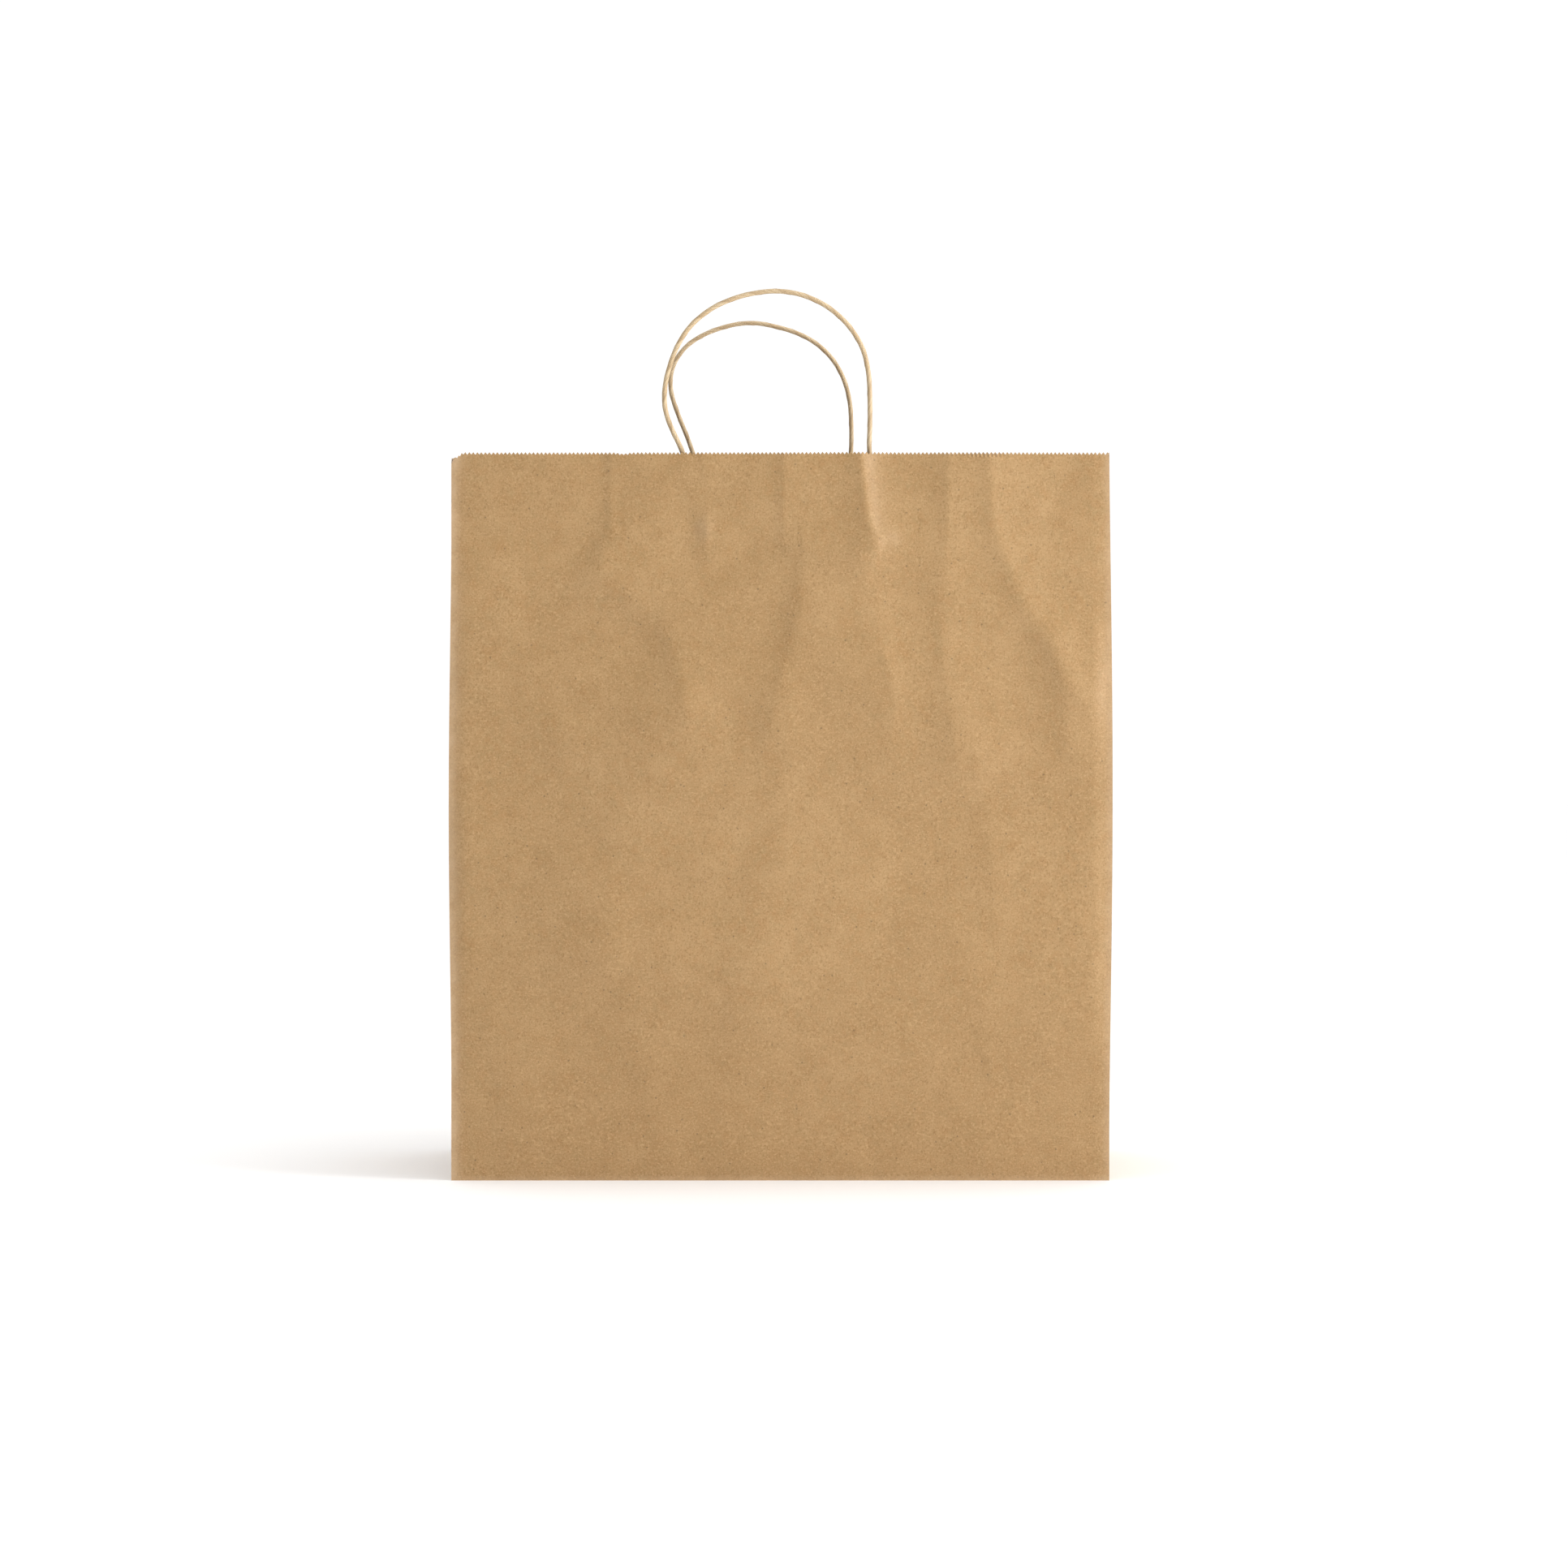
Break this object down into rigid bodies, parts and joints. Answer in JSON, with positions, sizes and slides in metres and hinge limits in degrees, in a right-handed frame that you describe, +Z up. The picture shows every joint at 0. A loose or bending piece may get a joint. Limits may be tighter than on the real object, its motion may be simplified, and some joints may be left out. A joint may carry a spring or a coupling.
{
  "type": "gift bag",
  "caption": "Kraft paper gift bag with block bottom, folding side gussets, pinked top edge and twisted paper cord handles glued inside under patches; it folds flat.",
  "frame": {"origin": "on the floor under the middle of the block bottom, with the bag standing open", "axes": "+X to the right across the front, +Y from the front to the back, +Z up; the front's outer face is at y = -0.089 m"},
  "size_m": [0.356, 0.178, 0.4869],
  "materials": {
    "kraft_paper": "matte natural kraft with fine fibres",
    "handle_patch": "matte natural kraft",
    "twisted_cord": "twisted paper, soft sheen"
  },
  "bodies": {
    "base": {"base_flap_front": "kraft_paper", "base_flap_back": "kraft_paper", "base_tuck_left": "kraft_paper", "base_tuck_right": "kraft_paper"},
    "back_lower": {"back_panel_lower": "kraft_paper", "seam_lap_lower": "kraft_paper"},
    "back": {"back_panel": "kraft_paper", "seam_lap": "kraft_paper", "back_handle_backing": "handle_patch", "back_handle_cover": "handle_patch", "back_handle_legs": "twisted_cord"},
    "left_gusset_back": {"left_gusset_back": "kraft_paper"},
    "left_gusset_front": {"left_gusset_front": "kraft_paper"},
    "right_gusset_back": {"right_gusset_back": "kraft_paper"},
    "right_gusset_front": {"right_gusset_front": "kraft_paper"},
    "left_foot": {"left_foot": "kraft_paper"},
    "right_foot": {"right_foot": "kraft_paper"},
    "front": {"front_panel": "kraft_paper", "front_handle_backing": "handle_patch", "front_handle_cover": "handle_patch", "front_handle_legs": "twisted_cord"},
    "front_handle": {"front_handle_loop": "twisted_cord"},
    "back_handle": {"back_handle_loop": "twisted_cord"}
  },
  "joints": [
    {"name": "flat_fold", "type": "hinge", "parent": "base", "child": "back_lower", "pos_m": [0, 0.08885, 0.00075], "axis": [1, 0, 0], "range_deg": [0, 88.5]},
    {"name": "back_crease", "type": "hinge", "parent": "back_lower", "child": "back", "pos_m": [0, 0.089, 0.089], "axis": [1, 0, 0], "range_deg": [-177.1, 0]},
    {"name": "left_gusset_back_crease", "type": "hinge", "parent": "back", "child": "left_gusset_back", "pos_m": [-0.17785, 0.08885, 0.197], "axis": [0, 0, 1], "range_deg": [0, 87.8]},
    {"name": "left_gusset_mid_crease", "type": "hinge", "parent": "left_gusset_back", "child": "left_gusset_front", "pos_m": [-0.178, 0, 0.197], "axis": [0, 0, 1], "range_deg": [-175.5, 0]},
    {"name": "front_left_crease", "type": "hinge", "parent": "left_gusset_front", "child": "front", "pos_m": [-0.17785, -0.08885, 0.197], "axis": [0, 0, 1], "range_deg": [0, 87.8]},
    {"name": "right_gusset_front_crease", "type": "hinge", "parent": "front", "child": "right_gusset_front", "pos_m": [0.17785, -0.08885, 0.197], "axis": [0, 0, 1], "range_deg": [0, 87.8]},
    {"name": "right_gusset_back_crease", "type": "hinge", "parent": "back", "child": "right_gusset_back", "pos_m": [0.17785, 0.08885, 0.197], "axis": [0, 0, 1], "range_deg": [-87.8, 0]},
    {"name": "left_foot_crease", "type": "hinge", "parent": "base", "child": "left_foot", "pos_m": [-0.17785, 0, 0.00045], "axis": [0, 1, 0], "range_deg": [0, 89.5]},
    {"name": "right_foot_crease", "type": "hinge", "parent": "base", "child": "right_foot", "pos_m": [0.17785, 0, 0.00045], "axis": [0, 1, 0], "range_deg": [-89.5, 0]},
    {"name": "front_handle_swing", "type": "hinge", "parent": "front", "child": "front_handle", "pos_m": [0, -0.0873, 0.397], "axis": [1, 0, 0], "range_deg": [-60, 110]},
    {"name": "back_handle_swing", "type": "hinge", "parent": "back", "child": "back_handle", "pos_m": [0, 0.0873, 0.397], "axis": [-1, 0, 0], "range_deg": [-60, 110]}
  ],
  "couplings": [
    {"joint": "back_crease", "follows": "flat_fold", "ratio": -2},
    {"joint": "left_gusset_back_crease", "follows": "flat_fold", "ratio": 0.991},
    {"joint": "left_gusset_mid_crease", "follows": "flat_fold", "ratio": -1.982},
    {"joint": "front_left_crease", "follows": "flat_fold", "ratio": 0.991},
    {"joint": "right_gusset_front_crease", "follows": "flat_fold", "ratio": 0.991},
    {"joint": "right_gusset_back_crease", "follows": "flat_fold", "ratio": -0.991},
    {"joint": "left_foot_crease", "follows": "flat_fold", "ratio": 1.01},
    {"joint": "right_foot_crease", "follows": "flat_fold", "ratio": -1.01}
  ]
}
